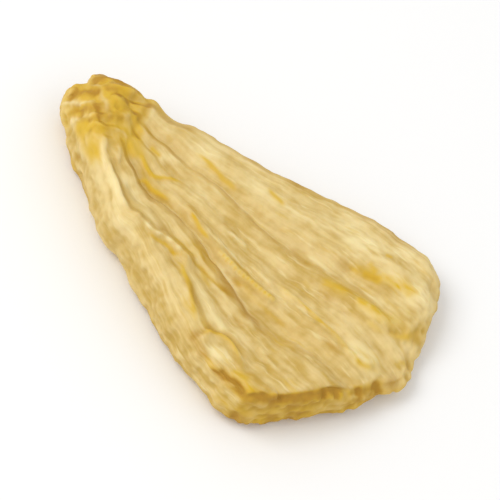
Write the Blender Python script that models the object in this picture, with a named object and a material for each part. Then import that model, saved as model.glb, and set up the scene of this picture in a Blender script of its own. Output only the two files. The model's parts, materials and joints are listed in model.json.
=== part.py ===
"""A freeze-dried pineapple chunk: one wedge of a peeled slice, dried until light and crisp.

The wedge lies flat. Its narrow tip, which was next to the core, points to -X and its
broad end, which was next to the rind, to +X. The fibres run from the tip to the end.
Lengths are millimetres up to the last step, which brings the mesh to metres.

The wedge is shaped from a block whose places a, b and c run from -1 to 1: a from the
tip to the end, b from the left side to the right, and c from the underside to the top.
"""

import bmesh
import bpy
import numpy as np

MILLIMETRE = 0.001
TURN = 2.0 * np.pi

# Tip and end of the outline, seen from above
TIP_X = -23.0
TIP_NOTCH = 1.1
TIP_NOTCH_AT = 0.35
TIP_NOTCH_WIDTH = 0.42
END_X = 22.1
END_CORNER = 0.13
CORNER_BLUNTNESS = 0.05
END_LEFT_SLOPE = 4.0
END_RIGHT_SLOPE = 3.9
END_CURVE = 3.2
END_ROUND = 0.3
END_ROUND_SPAN = (0.62, 1.0)
END_RIPPLE = 0.14
END_RIPPLE_RATE = 9.0
END_RIPPLE_START = 0.6
END_RIPPLE_SWELL = 4.0

# Sides of the outline: straight flares, tapers as amount and span before the middle,
# bumps as height, place and width, and ripples as height, rate and start
SIDE_BLEND = 1.6
LEFT_AT_MIDDLE = 11.8
LEFT_FLARE = 0.385
LEFT_MOST = 14.1
LEFT_TAPERS = ((0.95, 15.5, 21.0), (0.25, 12.0, 16.0))
LEFT_BUMPS = ((-0.4, -21.6, 1.1), (0.9, -9.8, 2.2))
RIGHT_AT_MIDDLE = 11.4
RIGHT_FLARE = 0.375
RIGHT_MOST = 16.2
RIGHT_TAPERS = ((0.3, 10.5, 13.5), (0.3, 14.0, 17.5))
RIGHT_BUMPS = ((0.25, -15.9, 1.6), (-0.45, -13.8, 1.6), (-1.05, -5.5, 7.5), (0.2, -4.3, 0.8), (0.25, 7.0, 3.5))
SIDE_RIPPLES = ((0.07, 1.3, 0.0), (0.06, 2.9, 1.0))
RIGHT_RIPPLE_SHARE = -0.6

# Heights of the upper face and where along the wedge they change
KNOB_HEIGHT = 8.3
KNOB_SPAN = (14.5, 18.0)
KNOB_FALL = 2.0
KNOB_FALL_SPAN = (17.5, 22.0)
KNOB_TILT = 1.3
LEFT_HEIGHT = 8.0
LEFT_END_HEIGHT = 6.6
LEFT_SPAN = (-4.0, 7.0)
RIGHT_HEIGHT = 6.3
RIGHT_END_HEIGHT = 4.4
RIGHT_SPAN = (-14.0, 14.0)
CORNER_SINK = 2.1
CORNER_SINK_REACH = 6.0
CORNER_SINK_SPREAD = 0.55
DISH_DEPTH = 1.6
DISH_POWER = 1.3
DISH_TILT = 0.45
DISH_START = (-16.0, -8.0)
DISH_END = (9.0, 18.0)
DISH_END_SHARE = 0.75

# Fibre ridges as how many cross the wedge, their height and where the first one lies
FIBRES = ((1.6, 0.16, 0.2), (2.7, 0.17, 0.55), (4.3, 0.13, 0.1))
FIBRE_SWAY = 0.045
FIBRE_SWAY_RATE = 0.33
FIBRE_SWAY_TURN = 2.0
FAN_SPAN = (-17.0, -11.0)
FAN_RIM = 0.45
FAN_CALM = 0.5
FAN_CALM_SPAN = (0.45, 0.8)

# Wrinkles across the knob
WRINKLE_STEP = 2.1
WRINKLE_HEIGHT = 0.18
WRINKLE_SLANT = 0.8
WRINKLE_WAVER = 0.8
WRINKLE_WAVER_RATE = 1.3
WRINKLE_SPAN = (14.5, 17.0)

# Folds and furrows of the upper face: points that they pass in plan, half width, height
FOLDS = {
    "parting of the knob": (((-21.8, 0.2), (-20.1, -0.5), (-17.3, -2.5)), 0.6, -0.3),
    "saddle of the knob": (((-16.9, 4.4), (-17.4, 1.8)), 1.0, -1.2),
    "lip behind the knob": (((-16.0, -4.6), (-14.3, -6.0), (-11.1, -7.2), (-8.0, -8.0)), 0.8, 0.3),
    "furrow beside the lip": (((-14.6, -4.4), (-12.2, -5.6), (-9.4, -6.1)), 0.7, -0.2),
    "pucker": (((-15.0, -2.0), (-13.8, -4.6)), 0.6, 0.3),
    "crumbled crust": (((-7.5, -7.8), (-5.6, -7.7), (-3.2, -6.9), (-1.4, -6.7)), 0.75, 0.5),
    "hem below the crust": (((-1.4, -6.9), (0.8, -9.0), (2.6, -10.4)), 0.8, 0.25),
    "long strand": (((-5.0, -2.0), (-1.3, -2.6), (2.1, -2.7), (6.8, -2.1)), 0.7, 0.4),
    "long furrow": (((-0.2, -4.2), (2.5, -3.9), (5.9, -3.5), (10.9, -3.2)), 0.8, -0.3),
    "outer strand": (((8.8, -0.4), (12.4, -0.5), (15.5, -0.6), (18.6, 0.6)), 0.8, 0.35),
    "wavy strand": (((10.5, 4.0), (13.0, 4.8), (14.9, 5.6), (16.5, 6.1), (18.1, 7.0)), 0.9, 0.45),
    "hollow of the stain": (((10.4, 7.4), (13.4, 8.2), (16.2, 9.0)), 1.2, -0.3),
    "rim of the eye": (((5.9, -11.3), (7.2, -10.3), (9.0, -10.3), (10.6, -11.2)), 0.7, 0.35),
    "hollow of the eye": (((7.6, -12.2), (10.2, -12.2)), 1.0, -0.35),
}
PATH_STEPS = 7

# Underside: the flat spot that it rests on, the furrows around it and the lifted corner
UNDER_FIBRES = ((1.3, 0.26, 0.4), (2.9, 0.24, 0.0))
UNDER_SPAN = (-19.0, -12.0)
UNDER_FLAT = 0.1
REST_X = 2.0
REST_RADIUS = 6.0
REST_SPREAD = 0.35
CORNER_LIFT = 0.6
CORNER_LIFT_REACH = 5.0
CORNER_LIFT_SPREAD = 0.6

# Walls: a belly, bands as height, rate along and rate down, and crags at the end
BELLY = 0.35
WALL_BANDS = ((0.06, 0.35, 5.0), (0.08, 0.8, 2.0))
CRAG_HEIGHT = 0.2
CRAG_RATES = ((11.0, 2.5, 0.0), (5.0, -3.0, 1.0))
CRAG_SPAN = (12.0, 16.0)

# Radii that the block's edges are rounded with
EDGE_LIMIT = 0.9
LEFT_EDGE = 1.5
CRUMBLED_EDGE = 3.6
CRUMBLED_X = -1.5
CRUMBLED_REACH = 5.0
RIGHT_EDGE = 2.2
TIP_EDGE = 2.1
END_EDGE = 1.1
END_CORNER_EDGE = 1.3
END_CORNER_SPAN = (-0.3, 0.4)
LEVEL_EDGE = 1.4
TIP_LEVEL_EDGE = 1.3
TIP_LEVEL_SPAN = (17.0, 21.0)

# Cuts along, across and through the block
CUTS_ALONG = 51
CUTS_ACROSS = 43
CUTS_THROUGH = 4

FLESH_COLOUR = (0.70, 0.515, 0.19, 1.0)
FLESH_ROUGHNESS = 0.8


def clear_scene():
    """Removes whatever the scene holds."""
    for old in list(bpy.data.objects):
        bpy.data.objects.remove(old, do_unlink=True)


def bell(distance, width):
    """A smooth hump that is 1 at distance 0 and fades past one width."""
    return np.exp(-((distance / width) ** 2))


def ramp(value, start, end):
    """0 up to start, 1 from end on, and smooth between them."""
    part = np.clip((value - start) / (end - start), 0.0, 1.0)
    return part * part * (3.0 - 2.0 * part)


def soft_min(first, second, blend):
    """The smaller of two values, rounded over blend where they cross."""
    return 0.5 * (first + second - np.sqrt((first - second) ** 2 + blend**2))


def between(low, high, b):
    """The value at b of a straight line from low at b = -1 to high at b = 1."""
    return ((1.0 - b) * low + (1.0 + b) * high) / 2.0


def side(x, at_middle, flare, most, tapers, bumps):
    """How far one side stands from the long axis at x: a flare up to a limit, tapered and bumped."""
    out = soft_min(at_middle + flare * x, most, SIDE_BLEND)
    out = out - sum(amount * ramp(-x, start, end) for amount, start, end in tapers)
    return out + sum(height * bell(x - place, width) for height, place, width in bumps)


def sides(x):
    """How far the left and the right side stand from the long axis at x."""
    ripple = sum(height * np.sin(rate * x + start) for height, rate, start in SIDE_RIPPLES)
    left = side(x, LEFT_AT_MIDDLE, LEFT_FLARE, LEFT_MOST, LEFT_TAPERS, LEFT_BUMPS)
    right = side(x, RIGHT_AT_MIDDLE, RIGHT_FLARE, RIGHT_MOST, RIGHT_TAPERS, RIGHT_BUMPS)
    return left + ripple, right + RIGHT_RIPPLE_SHARE * ripple


def plan(a, b):
    """The place in plan of the block's a and b."""
    off_corner = b - END_CORNER
    slope = np.where(off_corner < 0, END_LEFT_SLOPE, END_RIGHT_SLOPE)
    end = END_X - slope * np.hypot(off_corner, CORNER_BLUNTNESS) - END_CURVE * off_corner**2
    end = end + END_RIPPLE * np.sin(END_RIPPLE_RATE * b + END_RIPPLE_START) * np.sin(END_RIPPLE_SWELL * b)
    end = end - END_ROUND * ramp(b, *END_ROUND_SPAN) ** 2
    tip = TIP_X + TIP_NOTCH * bell(b - TIP_NOTCH_AT, TIP_NOTCH_WIDTH)
    x = between(tip, end, a)
    left, right = sides(x)
    return x, between(-left, right, b)


def smooth_path(points):
    """Points on a Catmull-Rom curve through the given points, PATH_STEPS of them in each span."""
    known = np.array(points)
    known = np.vstack([2 * known[0] - known[1], known, 2 * known[-1] - known[-2]])
    t = np.arange(PATH_STEPS)[:, None] / PATH_STEPS
    spans = []
    for p0, p1, p2, p3 in zip(known, known[1:], known[2:], known[3:]):
        bend = (2 * p0 - 5 * p1 + 4 * p2 - p3) * t**2 + (3 * p1 - p0 - 3 * p2 + p3) * t**3
        spans.append(0.5 * (2 * p1 + (p2 - p0) * t + bend))
    return np.vstack([*spans, known[-2][None]])


def distance_to_path(x, y, path):
    """The distance in plan from each place to a line through the points of the path."""
    nearest = np.full_like(x, np.inf)
    for (x0, y0), (x1, y1) in zip(path, path[1:]):
        span_x, span_y = x1 - x0, y1 - y0
        part = ((x - x0) * span_x + (y - y0) * span_y) / (span_x**2 + span_y**2)
        part = np.clip(part, 0.0, 1.0)
        nearest = np.minimum(nearest, np.hypot(x - x0 - part * span_x, y - y0 - part * span_y))
    return nearest


def fibres(x, b, ridges):
    """Ridges and furrows that fan out from the tip and sway a little on their way."""
    swayed = b + FIBRE_SWAY * np.sin(FIBRE_SWAY_RATE * x + FIBRE_SWAY_TURN * b)
    return sum(height * np.sin(TURN * (count * swayed + first)) for count, height, first in ridges)


def wrinkles(x, y):
    """Wrinkles that cross the knob at the tip."""
    turns = (x - WRINKLE_SLANT * y) / WRINKLE_STEP
    wave = np.sin(TURN * turns + WRINKLE_WAVER * np.sin(WRINKLE_WAVER_RATE * y))
    return WRINKLE_HEIGHT * wave * ramp(-x, *WRINKLE_SPAN)


def top_height(x, y, b):
    """The height of the upper face: its fall from tip and left to the far corner, its dish and its relief."""
    left = LEFT_HEIGHT + (LEFT_END_HEIGHT - LEFT_HEIGHT) * ramp(x, *LEFT_SPAN)
    right = RIGHT_HEIGHT + (RIGHT_END_HEIGHT - RIGHT_HEIGHT) * ramp(x, *RIGHT_SPAN)
    height = between(left, right, b)
    height = height + (KNOB_HEIGHT - height) * ramp(-x, *KNOB_SPAN)
    height = height - KNOB_FALL * ramp(-x, *KNOB_FALL_SPAN) * (KNOB_TILT - b) / 2.0
    inner = np.clip(1.0 - b**2, 0.0, 1.0)
    open_part = ramp(x, *DISH_START) * (1.0 - DISH_END_SHARE * ramp(x, *DISH_END))
    height = height - DISH_DEPTH * inner**DISH_POWER * (1.0 - DISH_TILT * b) * open_part
    sunk = bell(x - END_X, CORNER_SINK_REACH) * bell(b - END_CORNER, CORNER_SINK_SPREAD)
    height = height - CORNER_SINK * sunk
    fan = ramp(x, *FAN_SPAN) * ramp(inner, 0.0, FAN_RIM) * (1.0 - FAN_CALM * ramp(b, *FAN_CALM_SPAN))
    height = height + fibres(x, b, FIBRES) * fan + wrinkles(x, y)
    for points, half_width, rise in FOLDS.values():
        height = height + rise * bell(distance_to_path(x, y, smooth_path(points)), half_width)
    return height


def under_height(x, b):
    """The height of the underside: flat where it rests, with furrows and one lifted corner."""
    away = 1.0 - bell(x - REST_X, REST_RADIUS) * bell(b, REST_SPREAD)
    furrows = fibres(x, b, UNDER_FIBRES) * away * ramp(x, *UNDER_SPAN)
    lift = CORNER_LIFT * bell(x - END_X, CORNER_LIFT_REACH) * bell(b - END_CORNER, CORNER_LIFT_SPREAD)
    return np.maximum(furrows - UNDER_FLAT, 0.0) + lift


def wall_relief(x, b, c):
    """How far the walls stand out: a belly, bands that run along, and crags."""
    bands = sum(height * np.sin(along * x + down * c) for height, along, down in WALL_BANDS)
    crags = CRAG_HEIGHT * ramp(x, *CRAG_SPAN)
    for across, down, start in CRAG_RATES:
        crags = crags * np.sin(across * b + down * c + start)
    return BELLY * (1.0 - c**2) + bands + crags


def edge_radii(x, block):
    """The radius that rounds each place of the block, along each of its axes."""
    a, b, c = block
    crumbled = (CRUMBLED_EDGE - LEFT_EDGE) * bell(x - CRUMBLED_X, CRUMBLED_REACH) * (c > 0)
    return np.stack(
        [
            np.where(a < 0, TIP_EDGE, END_EDGE + END_CORNER_EDGE * ramp(b, *END_CORNER_SPAN)),
            np.where(b < 0, LEFT_EDGE + crumbled, RIGHT_EDGE),
            LEVEL_EDGE + TIP_LEVEL_EDGE * ramp(-x, *TIP_LEVEL_SPAN),
        ]
    )


def shape(block):
    """Turns places of the block into points of the wedge.

    The edges of the block are rounded first, each by its own radius, and then its
    length, width and height are taken up by the plan and by the two faces.
    """
    a, b, c = block
    x, y = plan(a, b)
    left, right = sides(x)
    half = np.stack([np.full_like(a, (END_X - TIP_X) / 2), (left + right) / 2, top_height(x, y, b) / 2])
    edge = np.minimum(edge_radii(x, block), EDGE_LIMIT * half)
    place = block * half
    core = np.clip(place, edge - half, half - edge)
    out = (place - core) / edge
    out = out / np.linalg.norm(out, axis=0)
    relief = wall_relief(x, b, c)
    place = core + edge * out + np.stack([out[0] * relief, out[1] * relief, 0.0 * relief])
    a, b, c = place / half
    x, y = plan(a, b)
    return np.stack([x, y, between(under_height(x, b), top_height(x, y, b), c)], axis=1)


def block_mesh():
    """A block from -1 to 1 each way, cut along, across and through."""
    size = 2.0
    block = bmesh.new()
    bmesh.ops.create_cube(block, size=size)
    for axis, cuts in enumerate((CUTS_ALONG, CUTS_ACROSS, CUTS_THROUGH)):
        edges = [e for e in block.edges if abs(e.verts[0].co[axis] - e.verts[1].co[axis]) > size / 2]
        bmesh.ops.subdivide_edges(block, edges=edges, cuts=cuts, use_grid_fill=True)
    mesh = bpy.data.meshes.new("pineapple_chunk")
    block.to_mesh(mesh)
    block.free()
    return mesh


def flesh_material():
    """Pale yellow dried flesh, dull all over."""
    material = bpy.data.materials.new("dried_pineapple_flesh")
    material.use_nodes = True
    shader = material.node_tree.nodes["Principled BSDF"]
    shader.inputs["Base Color"].default_value = FLESH_COLOUR
    shader.inputs["Roughness"].default_value = FLESH_ROUGHNESS
    shader.inputs["Metallic"].default_value = 0.0
    return material


def pineapple_chunk():
    """The chunk, one closed solid that rests on its flat underside."""
    mesh = block_mesh()
    block = np.empty(len(mesh.vertices) * 3)
    mesh.vertices.foreach_get("co", block)
    points = shape(block.reshape(-1, 3).T)
    low, high = points.min(axis=0), points.max(axis=0)
    points = points - [(low[0] + high[0]) / 2, (low[1] + high[1]) / 2, low[2]]
    mesh.vertices.foreach_set("co", (points * MILLIMETRE).ravel())
    mesh.shade_smooth()
    mesh.materials.append(flesh_material())
    return bpy.data.objects.new("pineapple_chunk", mesh)


def main():
    clear_scene()
    collection = bpy.data.collections.new("freeze_dried_pineapple_chunk")
    bpy.context.scene.collection.children.link(collection)
    collection.objects.link(pineapple_chunk())


main()
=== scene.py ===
"""A freeze-dried pineapple chunk on a pale floor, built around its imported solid.

The chunk is one wedge of a peeled slice. Its puckered tip points to -X and its broad
end to +X, and its fibres fan out from the tip. Lengths are millimetres until a mesh is
made, which is in metres.
"""

import json
import logging
from collections.abc import Iterable
from dataclasses import dataclass, field
from enum import Enum
from typing import Any

import bpy
import numpy as np
from mathutils import Matrix, Vector

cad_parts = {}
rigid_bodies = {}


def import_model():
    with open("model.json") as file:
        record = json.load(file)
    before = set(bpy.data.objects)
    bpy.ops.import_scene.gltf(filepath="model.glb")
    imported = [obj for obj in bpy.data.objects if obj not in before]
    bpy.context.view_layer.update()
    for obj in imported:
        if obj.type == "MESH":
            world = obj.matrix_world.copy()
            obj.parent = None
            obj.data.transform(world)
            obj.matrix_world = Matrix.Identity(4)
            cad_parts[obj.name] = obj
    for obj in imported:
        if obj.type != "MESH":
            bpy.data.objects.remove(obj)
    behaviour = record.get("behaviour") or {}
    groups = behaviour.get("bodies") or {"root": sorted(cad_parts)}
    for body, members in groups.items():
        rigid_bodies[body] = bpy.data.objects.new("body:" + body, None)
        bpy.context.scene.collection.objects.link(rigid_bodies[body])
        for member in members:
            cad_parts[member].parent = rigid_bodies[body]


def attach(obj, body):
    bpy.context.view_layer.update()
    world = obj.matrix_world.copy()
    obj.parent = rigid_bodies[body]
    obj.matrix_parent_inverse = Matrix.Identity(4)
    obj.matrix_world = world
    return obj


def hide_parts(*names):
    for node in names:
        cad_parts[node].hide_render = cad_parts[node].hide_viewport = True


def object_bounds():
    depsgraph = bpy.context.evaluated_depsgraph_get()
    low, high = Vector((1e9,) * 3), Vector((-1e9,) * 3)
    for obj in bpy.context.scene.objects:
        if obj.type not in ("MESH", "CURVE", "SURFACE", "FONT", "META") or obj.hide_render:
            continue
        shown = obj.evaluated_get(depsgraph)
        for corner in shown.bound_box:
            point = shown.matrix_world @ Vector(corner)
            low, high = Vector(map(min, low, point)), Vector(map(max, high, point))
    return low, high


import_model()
CAD_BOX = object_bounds()

MILLIMETRE = 0.001
TURN = 2.0 * np.pi
TINY = 1e-12
KINDS = ("golden", "brown", "pale")
NODE = "pineapple_chunk"
BODY = "root"
PIECE = "freeze_dried_pineapple_flesh"

# The end's blunt corner: how far it is along x, in millimetres, and across, as b
END_X = 22.1
END_CORNER = 0.13

Array = np.ndarray
Colour = tuple[float, float, float, float]
Point = tuple[float, float]
Span = tuple[float, float]
Triple = tuple[float, float, float]
Places = dict[str, Array]

log = logging.getLogger("pineapple_chunk")


# Curves, factors and noise that every shape uses


def bell(distance: Array, width: float | Array) -> Array:
    """A smooth hump: e to the minus square of distance over width."""
    return np.exp(-((distance / width) ** 2))


def ramp(value: Array, start: float, end: float) -> Array:
    """0 up to start, 1 from end on, and 3t² - 2t³ of the share t between them."""
    part = np.clip((value - start) / (end - start), 0.0, 1.0)
    return part * part * (3.0 - 2.0 * part)


def soft_min(first: Array, second: float | Array, blend: float) -> Array:
    """The smaller of two values, rounded over blend where they cross."""
    return 0.5 * (first + second - np.sqrt((first - second) ** 2 + blend**2))


def humps(x: Array, rows: Iterable[Triple]) -> Array:
    """The sum of bells over x, each with its height, its middle and its width."""
    return sum(height * bell(x - middle, width) for height, middle, width in rows)


def rises(x: Array, rows: Iterable[Triple]) -> Array:
    """The sum of ramps over x, each with its height, its start and its end."""
    return sum(height * ramp(x, start, end) for height, start, end in rows)


@dataclass(frozen=True)
class Fade:
    """A factor that goes from first to last while one coordinate goes from start to end."""

    axis: str
    start: float
    end: float
    first: float = 0.0
    last: float = 1.0

    def at(self, places: Places) -> Array:
        """The factor at each place."""
        return self.first + (self.last - self.first) * ramp(places[self.axis], self.start, self.end)


@dataclass(frozen=True)
class Bell:
    """A factor that is a bell over one coordinate."""

    axis: str
    middle: float
    width: float

    def at(self, places: Places) -> Array:
        """The factor at each place."""
        return bell(places[self.axis] - self.middle, self.width)


Factors = tuple[Fade | Bell, ...]


def product(places: Places, factors: Factors) -> Array:
    """The product of fades and bells."""
    return np.prod([factor.at(places) for factor in factors], axis=0)


def lattice(cells: Iterable[Array], seed: int) -> Array:
    """A fixed number from -1 to 1 for each whole-numbered cell, by mixing its bits.

    Args:
        cells: the cell's number along each axis.
        seed: chooses one of many such patterns.

    Returns:
        The number of each cell.
    """
    mixed = np.full(1, seed * 40503 + 12345, dtype=np.uint64)
    for cell, prime in zip(cells, (374761393, 668265263, 2246822519)):
        mixed = mixed ^ (cell.astype(np.int64).astype(np.uint64) * np.uint64(prime))
        mixed = (mixed ^ (mixed >> np.uint64(15))) * np.uint64(2654435761)
        mixed = mixed & np.uint64(0xFFFFFFFF)
    mixed = mixed ^ (mixed >> np.uint64(13))
    return (mixed & np.uint64(0xFFFF)).astype(float) / 32767.5 - 1.0


def noise(places: Iterable[Array], seed: int) -> Array:
    """Smooth noise from -1 to 1: the corners' numbers of each unit cell, blended by 3t² - 2t³.

    Args:
        places: the coordinates, in cells, along two or three axes.
        seed: chooses one of many such patterns.

    Returns:
        The noise at each place.
    """
    places = list(places)
    floors = [np.floor(p) for p in places]
    parts = [p - f for p, f in zip(places, floors)]
    parts = [t * t * (3.0 - 2.0 * t) for t in parts]
    total = np.zeros_like(parts[0])
    for corner in range(2 ** len(places)):
        picks = [(corner >> axis) & 1 for axis in range(len(places))]
        weight = np.ones_like(total)
        for pick, part in zip(picks, parts):
            weight = weight * (part if pick else 1.0 - part)
        total = total + weight * lattice([f + pick for f, pick in zip(floors, picks)], seed)
    return total


# The wedge's form, with the sizes that its solid has


@dataclass(frozen=True)
class WedgePlan:
    """The outline in plan: how far each side stands from the long axis, and the end's two edges."""

    tip_x: float = -23.0
    tip_notch: Triple = (1.1, 0.35, 0.42)
    corner_bluntness: float = 0.05
    end_left_slope: float = 4.0
    end_right_slope: float = 3.9
    end_curve: float = 3.2
    end_right_round: float = 0.3
    end_right_bend: Span = (0.62, 1.0)
    end_ripple: float = 0.14
    end_ripple_rates: Span = (9.0, 4.0)
    end_ripple_start: float = 0.6
    side_blend: float = 1.6
    left_line: Span = (11.8, 0.385)
    left_most: float = 14.1
    left_humps: tuple[Triple, ...] = ((0.9, -9.8, 2.2), (-0.4, -21.6, 1.1))
    left_rises: tuple[Triple, ...] = ((-0.95, -15.5, -21.0), (-0.25, -12.0, -16.0))
    right_line: Span = (11.4, 0.375)
    right_most: float = 16.2
    right_humps: tuple[Triple, ...] = (
        (-0.45, -13.8, 1.6), (0.25, -15.9, 1.6), (-1.05, -5.5, 7.5), (0.25, 7.0, 3.5), (0.2, -4.3, 0.8),
    )
    right_rises: tuple[Triple, ...] = ((-0.3, -10.5, -13.5), (-0.3, -14.0, -17.5))
    ragged_waves: tuple[Triple, ...] = ((0.07, 1.3, 0.0), (0.06, 2.9, 1.0))
    right_raggedness: float = 0.6

    def side(self, x: Array, line: Span, most: float) -> Array:
        """A straight flare, which is a distance at x = 0 and a slope, capped at most."""
        return soft_min(line[0] + line[1] * x, most, self.side_blend)

    def sides(self, x: Array) -> tuple[Array, Array]:
        """How far the left and the right side stand from the axis, with their humps and ragged edges.

        Args:
            x: places along the axis.

        Returns:
            The left and the right distance.
        """
        left = self.side(x, self.left_line, self.left_most)
        left = left + humps(x, self.left_humps) + rises(x, self.left_rises)
        right = self.side(x, self.right_line, self.right_most)
        right = right + humps(x, self.right_humps) + rises(x, self.right_rises)
        ragged = sum(height * np.sin(rate * x + start) for height, rate, start in self.ragged_waves)
        return left + ragged, right - self.right_raggedness * ragged

    def place(self, a: Array, b: Array) -> tuple[Array, Array]:
        """Where block coordinates lie in plan, between the tip and the end and between the sides.

        Args:
            a: -1 at the tip to 1 at the end.
            b: -1 at the left side to 1 at the right.

        Returns:
            x and y.
        """
        off_corner = b - END_CORNER
        slope = np.where(off_corner < 0, self.end_left_slope, self.end_right_slope)
        end = END_X - slope * np.hypot(off_corner, self.corner_bluntness) - self.end_curve * off_corner**2
        fast, slow = self.end_ripple_rates
        end = end + self.end_ripple * np.sin(fast * b + self.end_ripple_start) * np.sin(slow * b)
        end = end - self.end_right_round * ramp(b, *self.end_right_bend) ** 2
        tip = self.tip_x + humps(b, (self.tip_notch,))
        x = tip + (end - tip) * (a + 1.0) / 2.0
        left, right = self.sides(x)
        return x, ((1.0 + b) * right - (1.0 - b) * left) / 2.0


@dataclass(frozen=True)
class Strand:
    """A ridge or furrow along a smooth path over the upper face, with the colours that it carries.

    Its profile over the signed distance s from the path is rise * bell(s) less
    gutter * bell(s - shift). The shift is gutter_shift half-widths to the left of the
    path for a side of 1 and to the right for -1. It fades at both ends. Beads take
    their share off its strength in a wave along it, bead_step long.
    """

    points: tuple[Point, ...]
    half_width: float
    rise: float = 0.0
    gutter: float = 0.0
    side: float = -1.0
    fade: float = 0.3
    golden: float = 0.0
    brown: float = 0.0
    pale: float = 0.0
    beads: float = 0.0
    bead_step: float = 0.9
    gutter_shift: float = 1.5

    def path(self, steps: int = 7) -> Array:
        """A smooth Catmull-Rom curve through the strand's points.

        Args:
            steps: how many points it has in each span.

        Returns:
            Points on the curve.
        """
        known = np.array(self.points)
        known = np.vstack([2 * known[0] - known[1], known, 2 * known[-1] - known[-2]])
        t = np.arange(steps)[:, None] / steps
        spans = []
        for p0, p1, p2, p3 in zip(known, known[1:], known[2:], known[3:]):
            bend = (2 * p0 - 5 * p1 + 4 * p2 - p3) * t**2 + (3 * p1 - p0 - 3 * p2 + p3) * t**3
            spans.append(0.5 * (2 * p1 + (p2 - p0) * t + bend))
        return np.vstack([*spans, known[-2][None]])

    def follow(self, x: Array, y: Array) -> tuple[Array, Array]:
        """The signed distance to the path, positive at its left, and the strength along it.

        Args:
            x: places in plan.
            y: places in plan.

        Returns:
            The signed distance and the strength from 0 to 1.
        """
        path = self.path()
        lengths = np.hypot(*np.diff(path, axis=0).T)
        passed = np.concatenate([[0.0], np.cumsum(lengths)]) / lengths.sum()
        nearest = np.full_like(x, np.inf)
        signed = np.full_like(x, np.inf)
        share = np.zeros_like(x)
        for (x0, y0), (x1, y1), s0, s1 in zip(path, path[1:], passed, passed[1:]):
            span_x, span_y = x1 - x0, y1 - y0
            part = ((x - x0) * span_x + (y - y0) * span_y) / (span_x**2 + span_y**2)
            part = np.clip(part, 0.0, 1.0)
            off_x, off_y = x - x0 - part * span_x, y - y0 - part * span_y
            distance = np.hypot(off_x, off_y)
            closer = distance < nearest
            nearest = np.where(closer, distance, nearest)
            signed = np.where(closer, np.copysign(distance, span_x * off_y - span_y * off_x), signed)
            share = np.where(closer, s0 + (s1 - s0) * part, share)
        strength = np.ones_like(x)
        if self.fade > 0.0:
            strength = ramp(share, 0.0, self.fade) * ramp(1.0 - share, 0.0, self.fade)
        wave = 0.5 - 0.5 * np.cos(TURN * share * lengths.sum() / self.bead_step)
        return signed, strength * (1.0 - self.beads * wave)

    def profile(self, x: Array, y: Array) -> tuple[Array, Array, Array]:
        """What the strand does at places in plan.

        Args:
            x: places in plan.
            y: places in plan.

        Returns:
            Its height, and how strongly its body and its gutter show, from 0 to 1.
        """
        signed, strength = self.follow(x, y)
        shift = self.side * self.gutter_shift * self.half_width
        body = strength * bell(signed, self.half_width)
        groove = strength * bell(signed - shift, self.half_width)
        return self.rise * body - self.gutter * groove, body, groove


# Folds that the solid has, with the same paths, widths and heights
FOLDS: dict[str, Strand] = {
    "parting of the knob": Strand(((-21.8, 0.2), (-20.1, -0.5), (-17.3, -2.5)), 0.6, -0.3, fade=0),
    "saddle of the knob": Strand(((-16.9, 4.4), (-17.4, 1.8)), 1.0, -1.2, fade=0),
    "lip behind the knob": Strand(
        ((-16.0, -4.6), (-14.3, -6.0), (-11.1, -7.2), (-8.0, -8.0)), 0.8, 0.3, fade=0
    ),
    "furrow beside the lip": Strand(((-14.6, -4.4), (-12.2, -5.6), (-9.4, -6.1)), 0.7, -0.2, fade=0),
    "pucker": Strand(((-15.0, -2.0), (-13.8, -4.6)), 0.6, 0.3, fade=0),
    "crumbled crust": Strand(((-7.5, -7.8), (-5.6, -7.7), (-3.2, -6.9), (-1.4, -6.7)), 0.75, 0.5, fade=0),
    "hem below the crust": Strand(((-1.4, -6.9), (0.8, -9.0), (2.6, -10.4)), 0.8, 0.25, fade=0),
    "long strand": Strand(((-5.0, -2.0), (-1.3, -2.6), (2.1, -2.7), (6.8, -2.1)), 0.7, 0.4, fade=0),
    "long furrow": Strand(((-0.2, -4.2), (2.5, -3.9), (5.9, -3.5), (10.9, -3.2)), 0.8, -0.3, fade=0),
    "outer strand": Strand(((8.8, -0.4), (12.4, -0.5), (15.5, -0.6), (18.6, 0.6)), 0.8, 0.35, fade=0),
    "wavy strand": Strand(
        ((10.5, 4.0), (13.0, 4.8), (14.9, 5.6), (16.5, 6.1), (18.1, 7.0)), 0.9, 0.45, fade=0
    ),
    "hollow of the stain": Strand(((10.4, 7.4), (13.4, 8.2), (16.2, 9.0)), 1.2, -0.3, fade=0),
    "rim of the eye": Strand(((5.9, -11.3), (7.2, -10.3), (9.0, -10.3), (10.6, -11.2)), 0.7, 0.35, fade=0),
    "hollow of the eye": Strand(((7.6, -12.2), (10.2, -12.2)), 1.0, -0.35, fade=0),
}


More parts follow.
